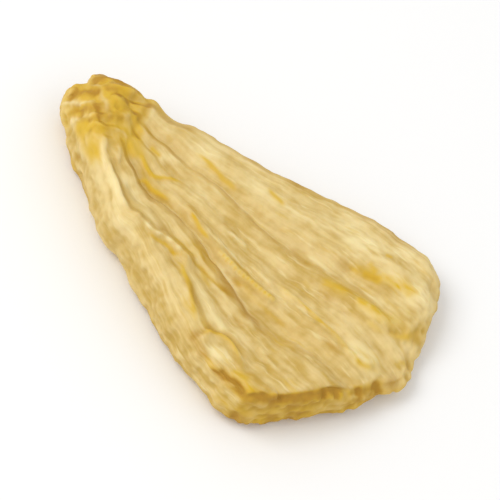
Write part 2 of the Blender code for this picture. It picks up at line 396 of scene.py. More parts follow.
@dataclass(frozen=True)
class WedgeFaces:
    """The heights of the upper face and of the underside, and how far the walls stand out."""

    left: Fade = Fade("x", -4.0, 7.0, 8.0, 6.6)
    right: Fade = Fade("x", -14.0, 14.0, 6.3, 4.4)
    knob: Fade = Fade("x", -14.5, -18.0)
    knob_height: float = 8.3
    knob_fall: Fade = Fade("x", -17.5, -22.0, 0.0, 2.0)
    knob_tilt: float = 1.3
    dish_depth: float = 1.6
    dish_power: float = 1.3
    dish_tilt: float = 0.45
    dish: Factors = (Fade("x", -16.0, -8.0), Fade("x", 9.0, 18.0, 1.0, 0.25))
    sink_depth: float = 2.1
    sink: Factors = (Bell("x", END_X, 6.0), Bell("b", END_CORNER, 0.55))
    lift_height: float = 0.6
    lift: Factors = (Bell("x", END_X, 5.0), Bell("b", END_CORNER, 0.6))
    fan: Factors = (Fade("x", -17.0, -11.0), Fade("inner", 0.0, 0.45), Fade("b", 0.45, 0.8, 1.0, 0.5))
    ridges: tuple[Triple, ...] = ((1.6, 0.16, 0.2), (2.7, 0.17, 0.55), (4.3, 0.13, 0.1))
    under_ridges: tuple[Triple, ...] = ((1.3, 0.26, 0.4), (2.9, 0.24, 0.0))
    under_fan: Fade = Fade("x", -19.0, -12.0)
    under_level: float = 0.1
    rest: Factors = (Bell("x", 2.0, 6.0), Bell("b", 0.0, 0.35))
    sway: float = 0.045
    sway_rates: Span = (0.33, 2.0)
    wrinkle: Fade = Fade("x", -14.5, -17.0, 0.0, 0.18)
    wrinkle_step: float = 2.1
    wrinkle_slant: float = 0.8
    waver: float = 0.8
    waver_rate: float = 1.3
    belly: float = 0.35
    bands: tuple[Triple, ...] = ((0.06, 0.35, 5.0), (0.08, 0.8, 2.0))
    crag: Fade = Fade("x", 12.0, 16.0, 0.0, 0.2)
    crag_waves: tuple[Triple, Triple] = ((11.0, 2.5, 0.0), (5.0, -3.0, 1.0))

    def fibres(self, x: Array, b: Array, ridges: Iterable[Triple]) -> Array:
        """Broad ridges that fan out from the tip: a sum of sines of b, which sways along x."""
        swayed = b + self.sway * np.sin(self.sway_rates[0] * x + self.sway_rates[1] * b)
        return sum(height * np.sin(TURN * (count * swayed + first)) for count, height, first in ridges)

    def wrinkles(self, x: Array, y: Array) -> Array:
        """Wrinkles across the knob: a sine over a slanted x that wavers with y."""
        turns = (x - self.wrinkle_slant * y) / self.wrinkle_step
        return np.sin(TURN * turns + self.waver * np.sin(self.waver_rate * y)) * self.wrinkle.at({"x": x})

    def top(self, x: Array, y: Array, b: Array) -> Array:
        """The upper face: a slanted plane with a knob, a dish, a sunk corner, ridges and folds.

        Args:
            x: places along the axis.
            y: places across it.
            b: the same places from the left side, -1, to the right, 1.

        Returns:
            The height over the ground.
        """
        inner = np.clip(1.0 - b**2, 0.0, 1.0)
        places = {"x": x, "b": b, "inner": inner}
        height = ((1.0 + b) * self.right.at(places) + (1.0 - b) * self.left.at(places)) / 2.0
        height = height + (self.knob_height - height) * self.knob.at(places)
        height = height - self.knob_fall.at(places) * (self.knob_tilt - b) / 2.0
        dish = inner**self.dish_power * (1.0 - self.dish_tilt * b) * product(places, self.dish)
        height = height - self.dish_depth * dish - self.sink_depth * product(places, self.sink)
        height = height + self.fibres(x, b, self.ridges) * product(places, self.fan) + self.wrinkles(x, y)
        return height + sum(fold.profile(x, y)[0] for fold in FOLDS.values())

    def under(self, x: Array, b: Array) -> Array:
        """The underside: flat where it rests, shallow furrows around that, and one lifted corner.

        Args:
            x: places along the axis.
            b: the same places from the left side, -1, to the right, 1.

        Returns:
            The height over the ground.
        """
        places = {"x": x, "b": b}
        away = (1.0 - product(places, self.rest)) * self.under_fan.at(places)
        furrows = self.fibres(x, b, self.under_ridges) * away
        return np.maximum(furrows - self.under_level, 0.0) + self.lift_height * product(places, self.lift)

    def crags(self, x: Array, b: Array, c: Array) -> Array:
        """Crags on the end's wall: the product of two sines over b and c."""
        sines = [np.sin(across * b + down * c + start) for across, down, start in self.crag_waves]
        return np.prod(sines, axis=0) * self.crag.at({"x": x})

    def wall(self, x: Array, b: Array, c: Array) -> Array:
        """How far the walls stand out: a belly, bands that run along them, and crags at the end."""
        bands = sum(height * np.sin(along * x + down * c) for height, along, down in self.bands)
        return self.belly * (1.0 - c**2) + bands + self.crags(x, b, c)


@dataclass(frozen=True)
class WedgeEdges:
    """The radii that the block's edges are rounded with."""

    left: float = 1.5
    crumbled: float = 3.6
    crumbled_x: float = -1.5
    crumbled_length: float = 5.0
    right: float = 2.2
    tip: float = 2.1
    end: float = 1.1
    end_rise: Triple = (1.3, -0.3, 0.4)
    level: float = 1.4
    tip_level: Triple = (1.3, -17.0, -21.0)

    def radii(self, x: Array, block: Array) -> Array:
        """The radius along each axis at each place of the block.

        Args:
            x: places along the axis.
            block: three rows a, b and c.

        Returns:
            The radii as three rows.
        """
        a, b, c = block
        crumbled = bell(x - self.crumbled_x, self.crumbled_length) * (c > 0)
        left = self.left + (self.crumbled - self.left) * crumbled
        along = np.where(a < 0, self.tip, self.end + rises(b, (self.end_rise,)))
        return np.stack([along, np.where(b < 0, left, self.right), self.level + rises(x, (self.tip_level,))])


@dataclass
class Skin:
    """Points of the chunk's surface, with where each one lies on it."""

    points: Array
    block: Array
    normals: Array = field(default_factory=lambda: np.zeros((0, 3)))

    def places(self) -> Places:
        """Each point's coordinates in space and on the block, and how far its normal points each way."""
        names = ("x", "y", "z", "a", "b", "c", "east", "north", "up")
        return dict(zip(names, (*self.points.T, *self.block, *self.normals.T)))


@dataclass(frozen=True)
class WedgeForm:
    """The wedge's form: a block with rounded edges, taken up by the plan and by the two faces."""

    plan: WedgePlan = WedgePlan()
    faces: WedgeFaces = WedgeFaces()
    edges: WedgeEdges = WedgeEdges()
    most_edge: float = 0.9

    def skin(self, block: Array) -> Skin:
        """Turns places on a block from -1 to 1 into places on the wedge.

        A place is split into a core, which keeps the edge radii off the block's faces,
        and the way out from it, which is brought to the radius. That rounds the edges.
        Then a and b go through the plan, and c runs from the underside to the top.

        Args:
            block: three rows a, b and c.

        Returns:
            The wedge's surface.
        """
        a, b, c = block
        x, y = self.plan.place(a, b)
        left, right = self.plan.sides(x)
        half_length = np.full_like(a, (END_X - self.plan.tip_x) / 2)
        half = np.stack([half_length, (left + right) / 2, self.faces.top(x, y, b) / 2])
        edge = np.minimum(self.edges.radii(x, block), self.most_edge * half)
        place = block * half
        core = np.clip(place, edge - half, half - edge)
        out = (place - core) / edge
        out = out / np.linalg.norm(out, axis=0)
        relief = self.faces.wall(x, b, c)
        place = core + edge * out + np.stack([out[0] * relief, out[1] * relief, 0.0 * relief])
        a, b, c = place / half
        x, y = self.plan.place(a, b)
        bottom = self.faces.under(x, b)
        z = bottom + (self.faces.top(x, y, b) - bottom) * (c + 1.0) / 2.0
        return Skin(np.stack([x, y, z], axis=1), np.stack([a, b, c]))


# The mesh that the form is laid on


@dataclass(frozen=True)
class BlockGrid:
    """A closed grid on the block: a fine upper face, walls, and an underside with half as many cuts."""

    along: int = 300
    across: int = 188
    rows: int = 27

    def face(self, along: int, across: int, level: float) -> Array:
        """The places of one face's grid, as three rows."""
        a, b = np.meshgrid(np.linspace(-1, 1, along + 1), np.linspace(-1, 1, across + 1), indexing="ij")
        return np.stack([a.ravel(), b.ravel(), np.full(a.size, level)])

    def ids(self, along: int, across: int) -> Array:
        """The numbers of a face grid's places, in rows along it."""
        return np.arange((along + 1) * (across + 1)).reshape(along + 1, across + 1)

    def rim(self, along: int, across: int) -> Array:
        """The numbers of a face grid's outer places, anticlockwise from above, from the left of the tip."""
        ids = self.ids(along, across)
        return np.concatenate([ids[:-1, 0], ids[-1, :-1], ids[:0:-1, -1], ids[0, :0:-1]])

    def quads(self, along: int, across: int) -> Array:
        """The cells of a face's grid, anticlockwise from above."""
        ids = self.ids(along, across)
        return np.dstack([ids[:-1, :-1], ids[1:, :-1], ids[1:, 1:], ids[:-1, 1:]]).reshape(-1, 4)

    def build(self) -> tuple[Array, Array, Array]:
        """Lays out the whole grid.

        Returns:
            The places as three rows, the four-sided faces and the three-sided ones.
        """
        top = self.face(self.along, self.across, 1.0)
        rim = self.rim(self.along, self.across)
        low_along, low_across = self.along // 2, self.across // 2
        low = self.face(low_along, low_across, -1.0)
        levels = np.linspace(1, -1, self.rows + 1)[1:-1]
        walls = [np.stack([top[0, rim], top[1, rim], np.full(rim.size, level)]) for level in levels]
        places = np.concatenate([top, *walls, low], axis=1)
        rings = [rim] + [top.shape[1] + k * rim.size + np.arange(rim.size) for k in range(len(walls))]
        first_low = top.shape[1] + len(walls) * rim.size
        quads = [self.quads(self.along, self.across)]
        for upper, lower in zip(rings, rings[1:]):
            quads.append(np.stack([lower, np.roll(lower, -1), np.roll(upper, -1), upper], axis=1))
        quads.append(self.quads(low_along, low_across)[:, ::-1] + first_low)
        coarse = self.rim(low_along, low_across) + first_low
        following = np.roll(coarse, -1)
        even, odd = rings[-1][0::2], rings[-1][1::2]
        corners = ((coarse, following, odd), (coarse, odd, even), (following, np.roll(even, -1), odd))
        triangles = np.concatenate([np.stack(three, axis=1) for three in corners])
        return places, np.concatenate(quads), triangles


def normals_of(points: Array, quads: Array, triangles: Array) -> Array:
    """Each point's normal: the sum of its faces' area vectors, brought to length 1.

    Args:
        points: the mesh's points.
        quads: its four-sided faces.
        triangles: its three-sided faces.

    Returns:
        One unit vector for each point.
    """
    total = np.zeros_like(points)
    for faces in (quads, triangles):
        first, second, third, last = (points[faces[:, corner]] for corner in (0, 1, 2, -1))
        four = faces.shape[1] == 4
        area = np.cross(third - first, last - second) if four else np.cross(second - first, last - first)
        for corner in faces.T:
            for axis in range(3):
                total[:, axis] += np.bincount(corner, weights=area[:, axis], minlength=len(points))
    return total / np.maximum(np.linalg.norm(total, axis=1), TINY)[:, None]


def mesh_of(name: str, points: Array, quads: Array, triangles: Array) -> bpy.types.Mesh:
    """Puts points in millimetres and faces into a smooth mesh in metres.

    Args:
        name: the mesh's name.
        points: its points.
        quads: its four-sided faces.
        triangles: its three-sided faces.

    Returns:
        The mesh.
    """
    mesh = bpy.data.meshes.new(name)
    mesh.vertices.add(len(points))
    mesh.vertices.foreach_set("co", (points * MILLIMETRE).astype(np.float32).ravel())
    corners = np.concatenate([quads.ravel(), triangles.ravel()]).astype(np.int32)
    starts = np.concatenate([np.arange(len(quads)) * 4, quads.size + np.arange(len(triangles)) * 3])
    mesh.loops.add(len(corners))
    mesh.loops.foreach_set("vertex_index", corners)
    mesh.polygons.add(len(starts))
    mesh.polygons.foreach_set("loop_start", starts.astype(np.int32))
    mesh.update(calc_edges=True)
    mesh.validate()
    mesh.shade_smooth()
    return mesh


def placed(name: str, data: bpy.types.ID) -> bpy.types.Object:
    """Makes an object and puts it in the scene.

    Args:
        name: its name.
        data: its mesh, camera or light.

    Returns:
        The object.
    """
    item = bpy.data.objects.new(name, data)
    bpy.context.scene.collection.objects.link(item)
    return item


# Fine relief and the colours that go with it

STRANDS: dict[str, Strand] = {
    # The knob and the lip behind it
    "knob's light crease": Strand(
        ((-22.7, -1.7), (-21.5, -1.7), (-20.4, -1.5), (-19.4, -1.1)),
        0.2, 0.1, fade=0.2, golden=-0.45, pale=0.35,
    ),
    "knob's upper band": Strand(
        ((-22.6, -1.0), (-21.7, -0.8), (-20.9, -0.4), (-19.9, -0.2)),
        0.6, -0.12, fade=0.15, golden=0.3, brown=0.75,
    ),
    "knob's lower band": Strand(
        ((-21.5, -2.2), (-20.4, -2.2), (-19.3, -2.1), (-18.3, -1.7)),
        0.5, -0.12, fade=0.15, golden=0.4, brown=0.7,
    ),
    "knob's second light crease": Strand(
        ((-21.2, -2.7), (-20.3, -2.9), (-19.2, -3.1)), 0.18, 0.08, fade=0.3, golden=-0.35, pale=0.25
    ),
    "knob's brown spot": Strand(
        ((-18.9, -3.3), (-18.1, -3.0), (-17.5, -2.6)), 0.4, -0.1, golden=0.4, brown=0.6
    ),
    "knob's golden band": Strand(
        ((-20.0, -3.4), (-18.4, -3.9), (-17.1, -3.8), (-16.1, -2.9)), 0.5, -0.04, fade=0.3, golden=0.6
    ),
    "knob's parting": Strand(
        ((-21.5, 1.1), (-20.2, 0.2), (-18.9, -0.7), (-17.9, -1.4), (-16.9, -2.0)),
        0.24, 0.1, fade=0.1, golden=-0.4, pale=0.15,
    ),
    "knob's far rim": Strand(
        ((-21.7, 0.8), (-21.4, 1.9), (-20.7, 2.6), (-19.6, 3.0), (-18.2, 3.2)),
        0.5, -0.06, golden=0.2, brown=0.6,
    ),
    "knob's first dimple": Strand(((-19.2, 1.0), (-18.0, 0.9)), 0.42, -0.1, golden=0.3, brown=0.5),
    "knob's second dimple": Strand(((-18.1, -0.3), (-17.2, -0.1)), 0.42, -0.1, golden=0.3, brown=0.4),
    "knob's third dimple": Strand(((-16.9, -1.4), (-16.0, -0.6)), 0.42, -0.1, golden=0.3, brown=0.45),
    "knob's fourth dimple": Strand(((-16.3, 1.8), (-15.8, 0.0)), 0.4, -0.1, golden=0.3, brown=0.35),
    "knob's bright blob": Strand(((-19.0, 0.3), (-17.6, 0.6)), 0.45, 0.12, golden=0.2, pale=0.4),
    "brown behind the knob": Strand(
        ((-15.0, -0.9), (-14.2, -0.4), (-13.6, -0.3)), 0.4, -0.12, golden=0.4, brown=0.55
    ),
    "dark arc": Strand(
        ((-16.6, 4.4), (-15.9, 2.9), (-15.4, 1.5), (-15.0, -0.2), (-14.7, -1.2)),
        0.4, -0.15, golden=0.2, brown=0.5,
    ),
    "pale arc": Strand(
        ((-16.0, 4.9), (-15.2, 3.1), (-14.7, 1.8), (-14.5, 0.6)), 0.3, 0.06, golden=-0.1, pale=0.2
    ),
    "second pale arc": Strand(
        ((-16.2, -2.6), (-15.5, -1.9), (-14.6, -2.0), (-13.9, -2.9)), 0.22, 0.08, golden=-0.3, pale=0.25
    ),
    "lip's crest": Strand(
        (
            (-16.0, -3.5), (-15.5, -4.7), (-14.7, -5.5),
            (-13.4, -6.1), (-12.1, -6.8), (-10.4, -7.6), (-8.0, -8.2),
        ),
        0.42, 0.1, fade=0.2, golden=-0.35, pale=0.45,
    ),
    "gold outside the lip": Strand(
        ((-17.0, -4.3), (-15.9, -5.2), (-15.0, -5.8), (-13.8, -6.6), (-12.2, -7.6), (-10.6, -8.6)),
        0.34, -0.1, fade=0.45, golden=0.55,
    ),
    "shade beside the lip": Strand(
        ((-15.1, -4.0), (-14.1, -4.7), (-12.8, -5.1), (-11.5, -5.5), (-10.1, -5.7), (-8.4, -6.0)),
        0.5, -0.1, golden=0.1, brown=0.1,
    ),
    "light beside the lip": Strand(
        ((-14.0, -4.7), (-10.4, -5.6), (-7.0, -6.3), (-3.6, -6.3)), 1.0, 0.16, pale=0.55
    ),
    "twist beside the lip": Strand(
        ((-15.1, -3.8), (-14.4, -3.6), (-13.8, -4.0), (-13.2, -4.8)), 0.26, 0.1, pale=0.5
    ),
    "golden puckers": Strand(((-15.0, -1.9), (-13.6, -2.2), (-12.2, -2.5)), 0.9, golden=0.5),
    "second pucker": Strand(((-16.4, 0.8), (-14.6, 0.4), (-13.6, 0.4)), 0.35, 0.12, 0.1, golden=0.4),
    # Golden streaks of the near half
    "wriggle": Strand(
        ((-13.2, -1.1), (-11.4, -2.0), (-10.2, -2.0), (-9.3, -1.0), (-8.5, -0.2), (-7.2, 0.5)),
        0.28, 0.1, 0.08, golden=0.9,
    ),
    "second wriggle": Strand(
        ((-11.1, -4.4), (-10.3, -3.1), (-9.2, -3.1), (-8.1, -2.7), (-6.6, -2.3)), 0.28, 0.1, 0.1, golden=0.8
    ),
    "streak": Strand(((-9.8, 3.3), (-8.3, 3.9), (-6.9, 4.0), (-5.0, 4.0), (-2.6, 4.3)), 0.32, golden=0.9),
    "third streak": Strand(((-2.0, 6.9), (-0.3, 6.9), (1.2, 7.0)), 0.34, golden=0.9),
    "fourth streak": Strand(((-12.9, 0.0), (-10.9, 0.4)), 0.36, golden=0.8),
    "fleck": Strand(((-12.5, 2.4), (-11.4, 2.6)), 0.36, golden=0.5),
    # The crust at the left and the hem that runs down from it
    "crust": Strand(
        ((-7.4, -7.8), (-5.6, -7.8), (-4.2, -7.1), (-2.7, -6.8), (-1.2, -6.7)),
        0.42, 0.09, 0.08, fade=0.12, pale=0.7, beads=0.6, bead_step=1.25,
    ),
    "second crust": Strand(
        ((-6.6, -7.2), (-5.0, -6.9), (-3.4, -6.4)), 0.35, 0.08, pale=0.4, beads=0.8, bead_step=1.0
    ),
    "line under the crust": Strand(
        ((-6.3, -8.5), (-5.1, -8.4), (-3.6, -7.7), (-2.6, -7.6), (-1.3, -7.1)),
        0.3, -0.1, golden=0.8, brown=0.25,
    ),
    "brown line": Strand(
        ((-1.6, -6.6), (0.0, -6.1), (1.5, -6.0), (3.1, -5.8), (5.0, -5.3)), 0.3, -0.1, golden=0.7, brown=0.5
    ),
    "hem": Strand(
        ((-1.3, -6.9), (-0.8, -8.2), (0.5, -8.8), (1.4, -9.4), (2.4, -10.3), (4.5, -11.5)),
        0.34, 0.1, fade=0.25, golden=0.8, brown=0.1,
    ),
    "light beside the hem": Strand(
        ((-2.4, -7.6), (0.4, -7.8), (3.0, -8.6), (6.0, -9.3), (9.4, -9.8)), 1.0, 0.14, pale=0.5
    ),
    "short hem": Strand(((0.3, -6.4), (2.6, -6.9)), 0.3, golden=0.5),
    "short furrow": Strand(((5.4, -7.1), (8.2, -7.4)), 0.35, -0.1, brown=0.45),
    # The strands and furrows of the middle
    "golden strand": Strand(((-5.3, -1.9), (-4.0, -2.2), (-2.6, -2.5), (-0.9, -2.6)), 0.26, 0.1, golden=1.0),
    "beaded strand": Strand(
        ((-0.9, -2.7), (0.6, -2.8), (2.1, -2.7), (4.0, -2.5), (5.6, -2.3), (7.2, -2.0), (8.6, -1.7)),
        0.34, 0.17, 0.08, fade=0.2, golden=0.95, pale=0.8, beads=0.35, bead_step=0.55,
    ),
    "pale flank": Strand(((-3.8, -1.5), (-2.1, -1.9), (0.2, -1.9), (3.0, -1.7)), 0.3, 0.1, pale=0.7),
    "white strand": Strand(((-1.4, -0.2), (0.2, 0.2), (2.0, 0.5)), 0.32, 0.1, 0.08, pale=0.65),
    "faint strand": Strand(((2.8, -1.0), (4.9, -0.7), (6.3, -0.8)), 0.28, 0.1, pale=0.6),
    "near furrow": Strand(((-2.6, -5.1), (-0.2, -3.9), (1.6, -3.7)), 0.34, -0.04, golden=0.3, brown=0.05),
    "brown flecks": Strand(((1.3, -3.6), (2.6, -3.4), (4.4, -3.3)), 0.22, -0.03, golden=0.3, brown=0.25),
    "dark furrow": Strand(
        ((2.1, -3.5), (3.4, -3.3), (5.6, -3.2), (7.4, -3.1), (9.5, -3.0), (11.3, -2.7)),
        0.32, -0.06, fade=0.2, golden=0.5, brown=0.18,
    ),
    # Pale fibres laid in the form's furrows: their rise is relief, and their pale is painted light that lifts
    # the furrows' shade.
    "fibre and painted light in the far furrow": Strand(
        ((-8.6, 2.4), (-5.5, 2.8), (-3.1, 2.9), (0.2, 3.0), (2.1, 3.2), (4.1, 3.4), (6.5, 4.2)),
        0.55, 0.17, pale=0.35,
    ),
    "fibre and painted light in the near furrow": Strand(
        ((-11.5, -3.6), (-8.6, -3.9), (-5.5, -3.5), (-1.7, -3.7), (0.2, -4.1), (3.4, -4.5), (6.0, -5.3)),
        0.65, 0.24, pale=0.3,
    ),
    "second fibre and painted light in the near furrow": Strand(
        ((-0.8, -4.0), (1.5, -4.4), (3.4, -4.7), (5.5, -5.4), (7.2, -6.0), (8.8, -6.6)),
        0.8, 0.24, fade=0.2, pale=0.35,
    ),
    "fibre and painted light in the end furrow": Strand(
        ((10.4, -4.6), (13.0, -4.1), (15.1, -3.8), (17.0, -3.5)), 0.5, 0.14, pale=0.3
    ),
    "short fibre": Strand(((9.4, -7.5), (11.7, -8.2), (14.0, -9.0)), 0.35, 0.14, 0.14, brown=0.1, pale=0.5),
    # The far half
    "far strand": Strand(
        ((5.4, 0.6), (7.6, 0.0), (10.0, 0.3), (12.7, 0.2), (14.7, 0.1), (16.9, -0.4), (18.3, -0.3)),
        0.36, 0.12, 0.16, fade=0.2, golden=0.5, pale=0.3,
    ),
    "shade of the far strand": Strand(((11.6, -0.8), (14.7, -1.3), (17.4, -1.3)), 0.5, -0.1, brown=0.4),
    "bright patch": Strand(
        ((14.6, 0.8), (17.0, 0.8), (18.8, 1.3), (20.4, 2.0)), 1.1, 0.08, fade=0.4, golden=0.25, pale=0.6
    ),
    "flecks of the bright patch": Strand(((17.2, -0.4), (18.4, -0.1), (19.2, 0.7)), 0.34, 0.05, golden=0.55),
    "golden wave": Strand(((8.4, 4.0), (10.8, 4.4), (12.6, 4.9)), 0.7, golden=0.65),
    "pale wave": Strand(
        ((12.0, 4.5), (14.0, 5.1), (15.8, 5.9), (17.4, 6.8), (18.3, 7.4)),
        0.85, 0.14, fade=0.4, golden=0.5, pale=1.0,
    ),
    "wave's golden flecks": Strand(
        ((11.9, 4.9), (13.4, 5.2), (14.8, 5.8), (16.4, 6.5)), 0.36, golden=0.75, beads=0.8, bead_step=1.6
    ),
    "curl": Strand(
        ((14.8, 4.3), (16.0, 4.4), (17.2, 4.8), (18.2, 5.5), (18.9, 6.5), (19.0, 7.2), (18.4, 7.7)),
        0.42, 0.1, fade=0.15, golden=0.5, pale=0.4,
    ),
    "inside of the curl": Strand(((17.0, 5.4), (17.9, 6.0), (18.4, 6.7)), 0.26, brown=0.1),
    "fleck of the far corner": Strand(((20.3, 3.8), (20.9, 5.0)), 0.4, golden=0.5),
    "shade of the far rim": Strand(
        ((14.0, 15.0), (16.0, 14.6), (17.3, 13.4), (19.0, 10.6), (20.0, 8.4)), 0.5, brown=0.15
    ),
    "pale streak": Strand(((5.2, 5.2), (7.7, 5.6), (9.9, 5.7)), 0.35, 0.06, pale=0.6),
    "tan before the stain": Strand(((8.0, 7.5), (9.5, 7.7), (10.6, 7.9)), 0.6, -0.05, brown=0.35),
    "stain": Strand(((8.9, 7.9), (10.3, 8.2), (12.2, 8.7), (13.4, 9.5)), 0.7, -0.06, golden=0.55, brown=0.1),
    "heart of the stain": Strand(
        ((11.0, 8.3), (12.2, 8.6), (13.3, 9.2)), 0.42, -0.05, golden=0.7, brown=0.45
    ),
    "branch of the stain": Strand(((10.6, 9.7), (12.4, 9.3)), 0.45, golden=0.6),
    "bright end of the stain": Strand(
        ((11.9, 9.2), (13.6, 9.7), (15.0, 10.1), (16.2, 10.7), (17.2, 11.1)), 0.6, golden=0.8, pale=0.3
    ),
    "shade under the stain": Strand(((12.8, 7.7), (15.2, 8.5), (17.6, 9.4)), 0.6, -0.06, brown=0.06),
    "speck": Strand(((11.3, 11.5), (12.3, 12.1)), 0.34, golden=0.8),
    # The eye at the corner
    "eye": Strand(((6.2, -12.8), (8.0, -12.3), (10.2, -11.6)), 1.0, golden=0.12, pale=0.62),
    "glint of the eye": Strand(((7.0, -12.3), (8.3, -12.0), (9.3, -11.6)), 0.4, 0.08, pale=0.4),
    "shade of the eye": Strand(((5.3, -13.6), (5.2, -12.3), (5.9, -11.3)), 0.45, -0.12, brown=0.4),
    "lid of the eye": Strand(
        ((5.8, -13.0), (5.8, -11.3), (6.7, -10.4), (8.0, -10.2), (9.5, -10.6), (10.6, -11.4)),
        0.3, 0.15, 0.18, side=1.0, golden=0.7, brown=0.15,
    ),
    "lower lid": Strand(
        ((6.4, -13.1), (7.5, -13.4), (8.6, -13.7), (10.0, -13.6)), 0.3, 0.1, golden=0.5, brown=0.2
    ),
    # The brown in the crevices is partly the flesh's own colour and partly painted shade in these recesses.
    "crevice": Strand(
        ((9.2, -13.2), (10.6, -13.5), (11.6, -13.3), (13.2, -13.8)),
        0.3, -0.4, fade=0.15, golden=0.3, brown=1.0,
    ),
    "little crevice": Strand(((8.4, -14.1), (9.6, -13.9), (10.6, -14.2)), 0.3, -0.25, brown=0.9),
    "bead by the crevice": Strand(((11.0, -14.4), (12.4, -14.5)), 0.4, 0.1, pale=0.5),
    "gold by the eye": Strand(((10.0, -12.8), (12.4, -11.9)), 0.5, golden=0.5),
    "first pit of the end": Strand(((13.9, -12.6), (14.6, -11.9)), 0.36, -0.22, golden=0.3, brown=0.9),
    "second pit of the end": Strand(((15.3, -11.0), (15.9, -10.3)), 0.42, -0.26, golden=0.3, brown=1.0),
    "third pit of the end": Strand(((18.3, -6.7), (18.6, -6.1)), 0.42, -0.26, golden=0.3, brown=1.0),
    "fourth pit of the end": Strand(((18.9, -5.5), (19.2, -4.8)), 0.36, -0.2, golden=0.3, brown=0.8),
    "fifth pit of the end": Strand(((19.9, -2.9), (20.2, -2.0)), 0.36, -0.2, golden=0.3, brown=0.7),
    "crumbs of the end": Strand(
        (
            (12.2, -13.9), (13.9, -12.6), (15.2, -11.0), (16.7, -9.0),
            (18.1, -6.6), (19.2, -4.2), (20.0, -2.0), (20.7, 0.3),
        ),
        0.45, 0.18, fade=0.1, golden=0.3, beads=1.0, bead_step=1.3,
    ),
    "edge of the end": Strand(
        ((13.3, -13.3), (14.3, -12.3), (15.3, -11.0), (16.4, -9.3), (17.4, -7.5), (18.6, -4.6)),
        0.4, -0.1, golden=0.7, brown=0.5,
    ),
}


@dataclass(frozen=True)
class Grain:
    """One noise: how long and how wide its features are, how far it goes, and its seed."""

    run: float
    step: float
    height: float
    seed: int

    def laid(self, along: Array, across: Array) -> Array:
        """The noise on the surface laid out flat."""
        return self.height * noise([along / self.run, across / self.step], self.seed)

    def solid(self, skin: Skin) -> Array:
        """The noise through the solid, with features as long as they are wide."""
        return self.height * noise([p / self.step for p in skin.points.T], self.seed)


@dataclass(frozen=True)
class FleshRelief:
    """The fine relief of dried flesh, as a height along the surface's normal."""

    half_width: float = 13.5
    wall_width: float = 6.4
    side_power: int = 8
    end_power: int = 30
    sway: Grain = Grain(13.0, 9.0, 0.4, 31)
    quiver: Grain = Grain(3.1, 3.0, 0.04, 32)
    gap: Grain = Grain(4.0, 2.0, 0.5, 11)
    gap_level: float = 0.6
    fibre: Grain = Grain(5.0, 1.1, 0.055, 12)
    thread: Grain = Grain(2.2, 0.5, 0.014, 13)
    fibre_power: float = 1.5
    fibre_walls: Span = (0.25, 0.6)
    pore: Grain = Grain(0.55, 0.55, 0.035, 14)
    pore_end: float = 2.5
    pore_walls: float = 1.3
    lump: Grain = Grain(1.6, 1.6, 0.10, 15)
    lump_shares: Triple = (0.35, 0.45, 0.2)
    granule: Grain = Grain(0.75, 0.75, 0.085, 16)
    crag: Grain = Grain(1.3, 1.3, 0.24, 17)
    notch: Grain = Grain(1.3, 1.3, 0.12, 18)
    sheet: Grain = Grain(3.6, 0.75, 0.07, 19)
    sheet_wave: float = 0.3
    sheet_rate: float = 0.7
    up: Fade = Fade("up", 0.2, 0.7)
    under: Fade = Fade("up", -0.2, -0.7)
    knob: Fade = Fade("x", -14.5, -17.5)
    calm: Fade = Fade("b", 0.5, 0.8, 0.0, 0.35)
    end: Factors = (Fade("east", 0.15, 0.6), Fade("x", 6.0, 12.0))
    craggy: Fade = Fade("b", 0.3, 0.7, 1.0, 0.2)
    rest: Factors = (Bell("x", 2.0, 7.0), Bell("b", 0.0, 0.4))

    def unrolled(self, skin: Skin) -> tuple[Array, Array]:
        """The surface laid out flat: along the fibres, and across them and on down the walls.

        Args:
            skin: the surface.

        Returns:
            The lengths along and across, in millimetres.
        """
        a, b, c = skin.block
        down = (1.0 - c) * self.wall_width / 2.0
        across = b * self.half_width + np.sign(b) * np.minimum(np.abs(b), 1.0) ** self.side_power * down
        along = skin.points[:, 0] + np.sign(a) * np.minimum(np.abs(a), 1.0) ** self.end_power * down
        return along, across + self.sway.laid(along, across) + self.quiver.laid(along, across)

    def combed(self, plan: WedgePlan, skin: Skin) -> Array:
        """How far the fibres show: less where the wedge is narrow, and not at all on the end walls."""
        share = np.clip(sum(plan.sides(skin.points[:, 0])) / 2.0 / self.half_width, 0.0, 1.0)
        return share**self.fibre_power * (1.0 - ramp(np.abs(skin.normals[:, 0]), *self.fibre_walls))

    def height(self, skin: Skin, along: Array, across: Array, combed: Array) -> Array:
        """The relief: broken fibres and threads, pores, lumps, granules, sheets in the walls and crags.

        Args:
            skin: the surface.
            along: lengths along the fibres.
            across: lengths across them.
            combed: how far the fibres show.

        Returns:
            How far each place stands out.
        """
        x, y, z = skin.points.T
        places = skin.places()
        up, under, knob = (fade.at(places) for fade in (self.up, self.under, self.knob))
        walls = (1.0 - up) * (1.0 - under)
        end = product(places, self.end)
        fibre = self.fibre.laid(along, across) * (self.gap_level + self.gap.laid(along, across))
        shown = (0.5 + 0.5 * up) * (1.0 - self.calm.at(places) * up) * combed
        relief = (fibre + self.thread.laid(along, across)) * shown
        relief = relief + self.pore.solid(skin) * (1.0 + knob + self.pore_end * end + self.pore_walls * walls)
        everywhere, on_knob, on_sides = self.lump_shares
        relief = relief + self.lump.solid(skin) * (everywhere + on_knob * knob + on_sides * (1.0 - up))
        relief = relief + self.granule.solid(skin) * knob
        level = z + self.sheet_wave * np.sin(self.sheet_rate * x)
        sheets = noise([x / self.sheet.run, y / self.sheet.run, level / self.sheet.step], self.sheet.seed)
        relief = relief + self.sheet.height * sheets * walls * (1.0 - knob)
        crags = self.crag.solid(skin) - np.abs(self.notch.solid(skin))
        relief = relief + crags * end * self.craggy.at(places)
        return np.where(under > 0.5, -np.abs(relief) * (1.0 - product(places, self.rest)), relief)


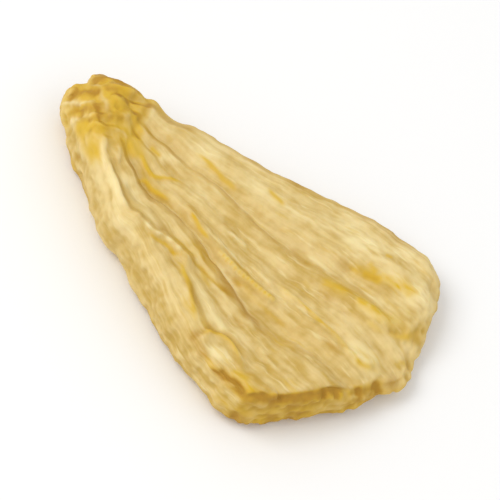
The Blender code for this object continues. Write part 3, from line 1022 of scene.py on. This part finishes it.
@dataclass(frozen=True)
class Patch:
    """A soft patch of colour on the upper face: a bell over a slanted ellipse in plan."""

    x: float
    y: float
    length: float
    width: float
    slope: float = 0.0
    golden: float = 0.0
    brown: float = 0.0
    pale: float = 0.0
    facing: Fade = Fade("up", 0.0, 0.4)

    def strength(self, places: Places) -> Array:
        """A bell along x, times a bell across the slope's line, where the surface faces up.

        Args:
            places: the surface's coordinates.

        Returns:
            The strength from 0 to 1.
        """
        off = places["x"] - self.x
        across = places["y"] - self.y - self.slope * off
        return bell(off, self.length) * bell(across, self.width) * self.facing.at(places)


@dataclass(frozen=True)
class Wash:
    """A colour over a whole region, as strong as the product of its factors."""

    factors: Factors
    golden: float = 0.0
    brown: float = 0.0
    pale: float = 0.0

    def strength(self, places: Places) -> Array:
        """Its strength from 0 to 1."""
        return product(places, self.factors)


END_WALL: Factors = (Fade("x", 6.0, 14.0), Fade("b", -0.2, 0.4, 1.0, 0.4))
WASHES: dict[str, Wash] = {
    "knob": Wash((Fade("x", -12.8, -17.4),), golden=0.6),
    "side of the knob": Wash(
        (Fade("x", -12.8, -17.4), Fade("y", -1.8, -3.8), Fade("z", 6.2, 4.4)), golden=-0.42
    ),
    "under the knob": Wash((Bell("x", -15.6, 1.6), Bell("y", -5.6, 1.1), Bell("z", 6.8, 1.7)), golden=0.3),
    # The end wall's gold and brown are partly the flesh's own colour and partly painted shade of the side
    # turned from the key light.
    "gold and painted shade of the end": Wash((Fade("east", 0.15, 0.75), *END_WALL), golden=0.72),
    "brown and painted shade of the end": Wash((Fade("east", 0.1, 0.75), *END_WALL), brown=0.4),
    # Painted shade darkening the foot of every wall towards the floor, with a painted warm bounce.
    "painted bounce at the foot": Wash((Fade("z", 2.4, 0.0),), golden=0.6),
    "painted shade at the foot": Wash((Fade("z", 1.8, 0.0),), brown=0.65),
    # Painted shade on the wall at the far side, which is turned away from the key light.
    "painted shade of the far wall": Wash((Fade("north", 0.15, 0.55), Fade("x", 11.0, 16.0, 1.0, 0.3)), golden=0.4, brown=0.5),
    "nose": Wash((Bell("x", 12.4, 3.6), Bell("y", -14.4, 1.8)), golden=0.45, brown=0.35),
    "far border": Wash((Fade("b", 0.35, 0.7), Fade("up", 0.2, 0.7)), pale=0.5),
    "near wall": Wash(
        (Fade("north", -0.3, -0.8), Fade("z", 1.5, 4.0), Fade("x", -14.0, 2.0, 1.0, 0.25)), pale=0.36
    ),
}


PATCHES: dict[str, Patch] = {
    "puckers": Patch(-13.4, -1.6, 2.3, 2.0, golden=0.6),
    # Painted light: a pale patch that lifts the shade past the puckers.
    "painted light beyond the puckers": Patch(-11.6, 0.2, 2.0, 1.3, 0.6, pale=0.65),
    "before the puckers": Patch(-9.6, -2.6, 2.6, 1.3, golden=0.3),
    "near middle": Patch(-5.2, 1.0, 3.6, 2.0, pale=0.5),
    "beside the lip": Patch(-8.6, -6.6, 3.4, 1.0, -0.25, pale=0.25),
    "wall below the lip": Patch(-9.0, -8.6, 3.5, 1.4, -0.3, pale=0.35),
    "wall below the crust": Patch(-1.8, -10.6, 4.0, 1.3, -0.3, pale=0.35),
    "furrow by the crust": Patch(-1.4, -5.4, 3.2, 1.4, 0.1, golden=0.3, brown=0.12),
    "under the crust": Patch(0.6, -8.0, 2.6, 1.2, -0.2, golden=0.3),
    "hem": Patch(4.8, -10.4, 3.4, 1.6, -0.2, golden=0.22, pale=0.35),
    "far furrow": Patch(7.0, 3.6, 5.5, 1.6, -0.22, golden=0.1, brown=0.18),
    "beyond the wave": Patch(15.4, 6.4, 3.6, 1.6, 0.25, golden=0.4),
    # Painted light: a pale patch that lifts the shade below the stain.
    "under the stain": Patch(14.0, 7.0, 3.4, 1.0, 0.3, pale=0.65),
    "far border": Patch(7.4, 10.4, 4.5, 1.4, 0.35, golden=0.1, pale=0.2),
    "far corner": Patch(16.6, 11.0, 3.2, 2.4, golden=0.1, pale=0.25),
    "bright patch": Patch(18.0, 1.0, 2.2, 1.6, golden=0.2, pale=0.55),
    "light in the near furrow": Patch(2.6, -3.7, 1.4, 0.8, -0.2, pale=0.7),
    "light past the near furrow": Patch(6.6, -5.2, 2.4, 0.9, -0.4, pale=0.55),
    "light in the puckers": Patch(-12.8, -2.8, 1.3, 0.8, -0.2, golden=-0.3, pale=0.5),
    "light by the eye": Patch(11.0, -10.9, 1.8, 1.0, -0.2, pale=0.6),
    "light before the wave": Patch(10.4, 6.3, 2.0, 0.8, 0.2, pale=0.5),
    "light by the long strand": Patch(2.0, -1.2, 1.6, 0.8, pale=0.4),
    "tan of the far half": Patch(1.5, 5.4, 3.4, 1.2, -0.1, brown=0.22),
    "tan before the wave": Patch(11.0, 3.1, 2.6, 0.7, 0.1, brown=0.22),
    "tan below the eye": Patch(6.4, -13.2, 1.6, 1.0, -0.3, brown=0.3),
    "tan of the far corner": Patch(21.2, 2.1, 0.9, 1.2, brown=0.5),
    "nose": Patch(13.0, -13.4, 2.2, 2.0, golden=0.55, brown=0.2),
    "top of the knob": Patch(-20.8, 1.4, 1.6, 1.8, golden=0.1, brown=0.6),
    "far lobe of the knob": Patch(-18.2, 1.0, 2.2, 2.2, golden=0.35, pale=0.25),
}


@dataclass(frozen=True)
class FleshTints:
    """How golden, brown and pale the flesh is over the surface, each from 0 to 1; the golden and the brown
    also hold painted shade.
    """

    mottles: tuple[Grain, ...] = (
        Grain(1.6, 1.6, 0.35, 41), Grain(1.7, 1.7, 0.5, 42), Grain(2.9, 2.9, 0.4, 43),
    )
    knob: Fade = Fade("x", -14.0, -17.0)
    # Painted shade: how much brown the hollows of the knob and of the end wall take.
    knob_hollow_shade: float = 0.75
    end: Factors = (Fade("east", 0.1, 0.75), *END_WALL)
    end_hollow_shade: float = 0.4
    hollow_depth: float = 0.2
    # Painted shade: brown in the broad furrows of the upper face.
    furrows: Fade = Fade("up", 0.2, 0.7, 0.0, 0.16)
    spots: Grain = Grain(0.8, 0.8, 1.0, 44)
    spot_span: Span = (0.05, 0.5)
    spot_share: Fade = Fade("up", 0.0, 0.5, 0.0, 0.28)

    def fields(self, skin: Skin, fine: Array, fibres: Array) -> dict[str, Array]:
        """Adds up washes and patches, mottles them, and adds brown as painted shade in hollows and furrows
        and as the knob's spots.

        Args:
            skin: the surface.
            fine: how far each place stands out.
            fibres: how far the broad fibres stand out.

        Returns:
            The share of each kind of colour.
        """
        places = skin.places()
        # Painted shade: brown where the fine relief sinks into a hollow and where a broad furrow sinks, more
        # the deeper it goes.
        hollow, furrow = (np.clip(-height / self.hollow_depth, 0.0, 1.0) for height in (fine, fibres))
        totals = {"golden": 0.0, "brown": self.furrows.at(places) * furrow, "pale": 0.0}
        for item in (*WASHES.values(), *PATCHES.values()):
            strength = item.strength(places)
            for kind in KINDS:
                totals[kind] = totals[kind] + getattr(item, kind) * strength
        for kind, mottle in zip(KINDS, self.mottles):
            totals[kind] = totals[kind] * (1.0 + mottle.solid(skin))
        knob = self.knob.at(places)
        # Painted shade in the hollows of the knob and of the end wall, then brown spots on the knob.
        hollows = self.knob_hollow_shade * knob + self.end_hollow_shade * product(places, self.end)
        spots = self.spot_share.at(places) * ramp(self.spots.solid(skin), *self.spot_span)
        totals["brown"] = totals["brown"] + hollows * hollow + knob * spots
        return {kind: np.clip(total, 0.0, 1.0) for kind, total in totals.items()}


@dataclass(frozen=True)
class StrandLayer:
    """How the single strands are laid on the upper face, and on the knob where it is steep, with painted
    shade in their gutters.
    """

    facing: Span = (0.1, 0.5)
    steep: Factors = (Fade("x", -14.5, -17.0, 0.0, 0.4), Fade("z", 3.0, 4.8))
    reach: float = 4.0
    wobble: Grain = Grain(0.9, 0.9, 0.25, 51)
    # Painted shade: how strongly a strand's gutter browns, by its depth, and at most.
    gutter_shade: float = 1.2
    gutter_painted_shade: float = 0.6

    def fields(self, skin: Skin) -> dict[str, Array]:
        """Adds up what the single strands do.

        Args:
            skin: the surface.

        Returns:
            Their height and their part of each kind of colour.
        """
        fields = {name: np.zeros(len(skin.points)) for name in ("height", *KINDS)}
        up = ramp(skin.normals[:, 2] + product(skin.places(), self.steep), *self.facing)
        plan = skin.points[:, :2]
        for strand in STRANDS.values():
            reach = self.reach * strand.half_width
            path = strand.path()
            inside = (plan > path.min(axis=0) - reach) & (plan < path.max(axis=0) + reach)
            near = inside.all(axis=1) & (up > 0)
            x, y = plan[near].T
            wobble = strand.half_width * self.wobble.laid(x, y)
            height, body, groove = (part * up[near] for part in strand.profile(x + wobble, y - wobble))
            fields["height"][near] += height
            for kind in KINDS:
                fields[kind][near] += getattr(strand, kind) * body
            # Painted shade: brown in each strand's gutter.
            fields["brown"][near] += self.gutter_painted_shade * min(1.0, self.gutter_shade * strand.gutter) * groove
        return fields


# Materials


@dataclass(frozen=True)
class Clouds:
    """A shader noise: how many features fit in a unit along each axis, its detail and its seed."""

    scale: Triple
    detail: float
    seed: float
    roughness: float = 0.55


@dataclass(frozen=True)
class Tint:
    """A colour that one attribute brings in, with torn edges and with flecks where fibres show."""

    attribute: str
    colour: Colour
    torn: float
    span: Span
    fleck_share: float = 0.0
    fleck_span: Span = (0.0, 1.0)
    flecks: Clouds | None = None


class Signal:
    """One socket's output. Python's operators on it add Math nodes."""

    def __init__(self, graph: "Graph", socket: bpy.types.NodeSocket) -> None:
        """Wraps a socket of a graph's node."""
        self.graph = graph
        self.socket = socket

    def _math(self, operation: str, first: Any, second: Any) -> "Signal":
        """Adds one Math node to the graph."""
        return self.graph.add("ShaderNodeMath", {"operation": operation}, {0: first, 1: second})

    def __add__(self, other: Any) -> "Signal":
        """This plus other."""
        return self._math("ADD", self, other)

    __radd__ = __add__

    def __sub__(self, other: Any) -> "Signal":
        """This less other."""
        return self._math("SUBTRACT", self, other)

    def __rsub__(self, other: Any) -> "Signal":
        """Other less this."""
        return self._math("SUBTRACT", other, self)

    def __mul__(self, other: Any) -> "Signal":
        """This times other."""
        return self._math("MULTIPLY", self, other)

    __rmul__ = __mul__

    def between(self, low: float, high: float) -> "Signal":
        """0 up to low, 1 from high on, and smooth between them."""
        settings = {"interpolation_type": "SMOOTHSTEP"}
        return self.graph.add("ShaderNodeMapRange", settings, {0: self, 1: low, 2: high, 3: 0.0, 4: 1.0})

    def clipped(self) -> "Signal":
        """This, held between 0 and 1."""
        return self.graph.add("ShaderNodeClamp", {}, {0: self, 1: 0.0, 2: 1.0})


class Graph:
    """The nodes of one material."""

    def __init__(self, material: bpy.types.Material) -> None:
        """Takes over a material's nodes.

        Args:
            material: the material.
        """
        material.use_nodes = True
        self.tree = material.node_tree
        self.shader = self.tree.nodes["Principled BSDF"]

    def add(
        self,
        kind: str,
        settings: dict[str, Any] | None = None,
        inputs: dict[str | int, Any] | None = None,
        output: str | int = 0,
    ) -> Signal:
        """Adds a node, sets it up and feeds its sockets.

        Args:
            kind: Blender's name of the node's type.
            settings: the node's own properties, set first.
            inputs: a value or a signal for each socket, by its name or number.
            output: the output that is wanted.

        Returns:
            That output.
        """
        node = self.tree.nodes.new(kind)
        for name, value in (settings or {}).items():
            setattr(node, name, value)
        for name, value in (inputs or {}).items():
            self.feed(node.inputs[name], value)
        return Signal(self, node.outputs[output])

    def feed(self, socket: bpy.types.NodeSocket, value: Any) -> None:
        """Links a signal to a socket, or sets the socket's value.

        Args:
            socket: the socket.
            value: a signal or a value.
        """
        if isinstance(value, Signal):
            self.tree.links.new(value.socket, socket)
        else:
            socket.default_value = value

    def shade(self, values: dict[str, Any]) -> None:
        """Feeds the shader's sockets by their names."""
        for name, value in values.items():
            self.feed(self.shader.inputs[name], value)

    def mix(self, factor: Signal | float, first: Signal | Colour, second: Signal | Colour) -> Signal:
        """The first colour where factor is 0 and the second where it is 1."""
        return self.add("ShaderNodeMix", {"data_type": "RGBA"}, {0: factor, 6: first, 7: second}, 2)

    def attribute(self, name: str, output: str = "Fac") -> Signal:
        """A value that the mesh carries at each of its points."""
        return self.add("ShaderNodeAttribute", {"attribute_name": name}, {}, output)

    def clouds(self, vector: Signal, clouds: Clouds) -> Signal:
        """Smooth noise from 0 to 1.

        Args:
            vector: the place.
            clouds: the noise's sizes.

        Returns:
            The noise.
        """
        scaled = self.add("ShaderNodeVectorMath", {"operation": "MULTIPLY"}, {0: vector, 1: clouds.scale})
        inputs = {"Vector": scaled, "W": clouds.seed, "Scale": 1.0, "Detail": clouds.detail}
        inputs["Roughness"] = clouds.roughness
        return self.add("ShaderNodeTexNoise", {"noise_dimensions": "4D"}, inputs)


@dataclass(frozen=True)
class FleshFinish:
    """Dried pineapple flesh: cream and tan streaks, golden where it dried thick, dull all over, with painted
    shade and painted light in its tone and tints.
    """

    cream: Colour = (0.775, 0.592, 0.26, 1.0)
    tan: Colour = (0.535, 0.347, 0.072, 1.0)
    tone_span: Span = (0.70, 1.06)
    tone_level: float = 0.035
    # Painted shade and light: how much the relief darkens the ground colour in hollows and lightens it on
    # crests.
    relief_shading: float = 0.4
    tone_mottle: float = 0.28
    mottle: Clouds = Clouds((700.0, 700.0, 700.0), 3.0, 1540.0)
    streak_level: float = 0.29
    broad_share: float = 0.42
    broad: Clouds = Clouds((0.10, 0.42, 0.0), 1.0, 1.7)
    middle_share: float = 0.40
    middle: Clouds = Clouds((0.18, 1.15, 0.0), 1.0, 4.1)
    fine_share: float = 0.2
    fine: Clouds = Clouds((0.3, 2.6, 0.0), 1.0, 8.3)
    fibre_level: float = 0.3
    blotch_share: float = 0.65
    blotches: Clouds = Clouds((850.0, 850.0, 850.0), 2.0, 7735.0)
    threads: Clouds = Clouds((0.5, 1.5, 0.0), 1.5, 9.6)
    tints: tuple[Tint, ...] = (
        Tint(
            "pale", (0.855, 0.71, 0.365, 1.0), 1.1, (0.2, 1.0),
            0.5, (0.58, 0.72), Clouds((0.28, 1.6, 0.0), 2.0, 12.2),
        ),
        # The golden tint shows the flesh's golden streaks and also painted shade and bounce on the walls.
        Tint(
            "golden", (0.67, 0.42, 0.018, 1.0), 0.8, (0.05, 1.25),
            0.3, (0.56, 0.70), Clouds((0.3, 1.4, 0.0), 2.0, 15.8),
        ),
        # The brown tint shows the flesh's brown marks and also the painted shade in hollows, furrows and
        # gutters.
        Tint("brown", (0.42, 0.215, 0.016, 1.0), 0.7, (0.1, 1.2)),
    )
    roughness: float = 0.8
    golden_gloss: float = 0.12
    grain: Clouds = Clouds((3000.0, 3000.0, 3000.0), 2.0, 16500.0)
    grain_share: float = 0.8
    bump_strength: float = 0.6
    bump_height: float = 0.00004
    subsurface: float = 0.2
    subsurface_radius: Triple = (1.0, 0.65, 0.25)
    subsurface_scale: float = 0.0007
    specular: float = 0.35

    def tone(self, graph: Graph, flat: Signal, solid: Signal, combed: Signal) -> Signal:
        """How light the ground colour is: streaks in three widths along the fibres, the relief as painted
        shade and light, and mottles.

        Args:
            graph: the material's nodes.
            flat: the surface laid out flat, in millimetres.
            solid: the place in the solid, in metres.
            combed: how far the fibres show.

        Returns:
            The sum, before it is spread from 0 to 1.
        """
        broad, middle, fine = (graph.clouds(flat, clouds) for clouds in (self.broad, self.middle, self.fine))
        narrow = self.middle_share * middle + self.fine_share * fine - self.fibre_level
        streaks = self.broad_share * broad + self.streak_level + combed * narrow
        mottle = self.tone_mottle * graph.clouds(solid, self.mottle) + self.tone_level
        # Painted shade in the relief's hollows and painted light on its crests.
        return streaks + mottle + self.relief_shading * graph.attribute("relief")

    def material(self) -> bpy.types.Material:
        """Builds the material from the mesh's attributes and fine noise.

        Returns:
            The material.
        """
        material = bpy.data.materials.new("dried_pineapple_flesh")
        graph = Graph(material)
        flat = graph.attribute("fibre_place", "Vector")
        solid = graph.add("ShaderNodeTexCoord", {}, {}, "Object")
        combed = graph.attribute("combed")
        blotches = self.blotch_share * (graph.clouds(solid, self.blotches) - 0.5)
        threads = graph.clouds(flat, self.threads) - 0.5
        torn = blotches + combed * (threads - blotches)
        tone = self.tone(graph, flat, solid, combed)
        colour = graph.mix(tone.between(*self.tone_span), self.tan, self.cream)
        for tint in self.tints:
            share = (graph.attribute(tint.attribute) + tint.torn * torn).between(*tint.span)
            if tint.flecks:
                flecks = graph.clouds(flat, tint.flecks).between(*tint.fleck_span)
                share = share + tint.fleck_share * combed * flecks
            colour = graph.mix(share.clipped(), colour, tint.colour)
        height = self.grain_share * graph.clouds(solid, self.grain) + (1.0 - self.grain_share) * torn
        bump = {"Strength": self.bump_strength, "Distance": self.bump_height, "Height": height}
        graph.shade({
            "Base Color": colour,
            "Roughness": self.roughness - self.golden_gloss * graph.attribute("golden"),
            "Normal": graph.add("ShaderNodeBump", {}, bump),
            "Subsurface Weight": self.subsurface,
            "Subsurface Radius": self.subsurface_radius,
            "Subsurface Scale": self.subsurface_scale,
            "Specular IOR Level": self.specular,
        })
        return material


@dataclass
class PineappleChunk:
    """The chunk: its form, its fine relief, its colours and its finish."""

    form: WedgeForm = WedgeForm()
    grid: BlockGrid = BlockGrid()
    relief: FleshRelief = FleshRelief()
    strands: StrandLayer = StrandLayer()
    tints: FleshTints = FleshTints()
    finish: FleshFinish = FleshFinish()
    # Painted shade and light: how the fine relief and the strands set the relief attribute.
    relief_shading_level: float = 0.5
    relief_shading_gain: float = 2.4

    def fitted(self, points: Array) -> Array:
        """Lays the points on the ground and spreads them to the solid's box.

        Args:
            points: the surface's points.

        Returns:
            The points in place.
        """
        points[:, 2] = np.maximum(points[:, 2], 0.0)
        low, high = (np.array(corner) / MILLIMETRE for corner in CAD_BOX)
        own_low, own_high = points.min(axis=0), points.max(axis=0)
        return low + (points - own_low) * (high - low) / (own_high - own_low)

    def build(self) -> bpy.types.Object:
        """Works out the surface, fits it to its solid's box and makes the object.

        Returns:
            The chunk, in place.
        """
        block, quads, triangles = self.grid.build()
        skin = self.form.skin(block)
        skin.normals = normals_of(skin.points, quads, triangles)
        along, across = self.relief.unrolled(skin)
        combed = self.relief.combed(self.form.plan, skin)
        strands = self.strands.fields(skin)
        fine = self.relief.height(skin, along, across, combed)
        points = self.fitted(skin.points + skin.normals * (fine + strands["height"])[:, None])
        mesh = mesh_of(PIECE, points, quads, triangles)
        fibres = self.form.faces.fibres(skin.points[:, 0], skin.block[1], self.form.faces.ridges) * combed
        tints = self.tints.fields(skin, fine, fibres + fine)
        values = {kind: tints[kind] + strands[kind] for kind in KINDS}
        # The relief attribute: painted shade where the surface sinks and painted light where it stands out.
        values["relief"] = self.relief_shading_level + self.relief_shading_gain * fine + strands["height"]
        values["combed"] = combed
        for name, value in values.items():
            value = np.clip(value, 0.0, 1.0).astype(np.float32)
            mesh.attributes.new(name, "FLOAT", "POINT").data.foreach_set("value", value)
        flat = np.stack([along, across, np.zeros_like(along)], axis=1).astype(np.float32)
        mesh.attributes.new("fibre_place", "FLOAT_VECTOR", "POINT").data.foreach_set("vector", flat.ravel())
        mesh.materials.append(self.finish.material())
        piece = placed(PIECE, mesh)
        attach(piece, BODY)
        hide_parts(NODE)
        return piece


# Camera, light and floor


class ViewSide(Enum):
    """Where a light stands, as shares of the picture's right, its up and the way to the camera."""

    KEY = (-0.42, 0.50, 0.80)
    FILL = (0.75, 0.05, 0.70)


@dataclass(frozen=True)
class Studio:
    """A camera at the photograph's angle, a pale floor and soft light."""

    elevation: float = 55.0
    heading: float = 16.2
    roll: float = 30.0
    lens: float = 400.0
    sensor: float = 36.0
    clip: Span = (0.01, 20.0)
    field_width: float = 50.7
    aim: Triple = (2.12, 0.10, 3.95)
    floor_size: float = 6.0
    floor_colour: Colour = (0.92, 0.917, 0.908, 1.0)
    floor_roughness: float = 0.9
    sky_strength: float = 0.74
    key_watts: float = 1.35
    fill_watts: float = 0.3
    light_distance: float = 0.55
    key_size: float = 0.32
    fill_size: float = 0.5

    def axes(self) -> tuple[Vector, Vector, Vector]:
        """The picture's directions, worked out from the camera's three angles.

        Returns:
            Its right, its up and the way back to the camera, as unit vectors.
        """
        elevation, heading, roll = (np.radians(v) for v in (self.elevation, self.heading, self.roll))
        level = np.array([np.cos(heading), np.sin(heading), 0.0])
        ahead = np.array([-np.sin(heading), np.cos(heading), 0.0])
        upward = np.array([0.0, 0.0, 1.0])
        rise = ahead * np.sin(elevation) + upward * np.cos(elevation)
        back = upward * np.sin(elevation) - ahead * np.cos(elevation)
        right = level * np.cos(roll) + rise * np.sin(roll)
        up = rise * np.cos(roll) - level * np.sin(roll)
        return Vector(right), Vector(up), Vector(back)

    def camera(self) -> None:
        """Puts a long lens where it sees field_width across at the chunk."""
        data = bpy.data.cameras.new("camera")
        data.lens = self.lens
        data.sensor_width = self.sensor
        data.clip_start, data.clip_end = self.clip
        camera = placed("camera", data)
        right, up, back = self.axes()
        turned = Matrix((right, up, back)).transposed().to_4x4()
        distance = self.field_width * MILLIMETRE * self.lens / self.sensor
        turned.translation = Vector(self.aim) * MILLIMETRE + back * distance
        camera.matrix_world = turned
        bpy.context.scene.camera = camera

    def light(self, side: ViewSide, watts: float, size: float) -> None:
        """Puts a square soft light at one side of the picture, aimed at the chunk.

        Args:
            side: where it stands.
            watts: its power.
            size: its width in metres.
        """
        data = bpy.data.lights.new(side.name.lower(), "AREA")
        data.energy = watts
        data.size = size
        light = placed(side.name.lower(), data)
        shares = zip(side.value, self.axes())
        away = sum((axis * share for share, axis in shares), Vector((0.0, 0.0, 0.0))).normalized()
        light.location = away * self.light_distance
        light.rotation_mode = "QUATERNION"
        light.rotation_quaternion = away.to_track_quat("Z", "Y")

    def sky(self) -> None:
        """An even pale sky, which fills the shadows."""
        world = bpy.data.worlds.new("sky")
        world.use_nodes = True
        background = world.node_tree.nodes["Background"]
        background.inputs["Color"].default_value = (1.0, 1.0, 1.0, 1.0)
        background.inputs["Strength"].default_value = self.sky_strength
        bpy.context.scene.world = world

    def floor(self) -> None:
        """A wide level floor of one pale colour."""
        half = self.floor_size / MILLIMETRE / 2
        corners = np.array([(-half, -half, 0.0), (half, -half, 0.0), (half, half, 0.0), (-half, half, 0.0)])
        mesh = mesh_of("floor", corners, np.array([[0, 1, 2, 3]]), np.zeros((0, 3), int))
        material = bpy.data.materials.new("pale_floor")
        Graph(material).shade({"Base Color": self.floor_colour, "Roughness": self.floor_roughness})
        mesh.materials.append(material)
        floor = placed("floor", mesh)

    def build(self) -> None:
        """Sets up the camera, the lights, the sky and the floor."""
        self.camera()
        self.light(ViewSide.KEY, self.key_watts, self.key_size)
        self.light(ViewSide.FILL, self.fill_watts, self.fill_size)
        self.sky()
        self.floor()
        bpy.context.scene.view_settings.view_transform = "Standard"
        bpy.context.scene.view_settings.look = "None"


def main() -> None:
    """Builds the chunk and its studio, and reports each piece."""
    logging.basicConfig(level=logging.INFO, format="%(message)s")
    chunk = PineappleChunk().build()
    log.info("%s: %d points, %d faces", chunk.name, len(chunk.data.vertices), len(chunk.data.polygons))
    Studio().build()
    log.info("studio: camera, two lights, sky and floor")


if __name__ == "__main__":
    main()
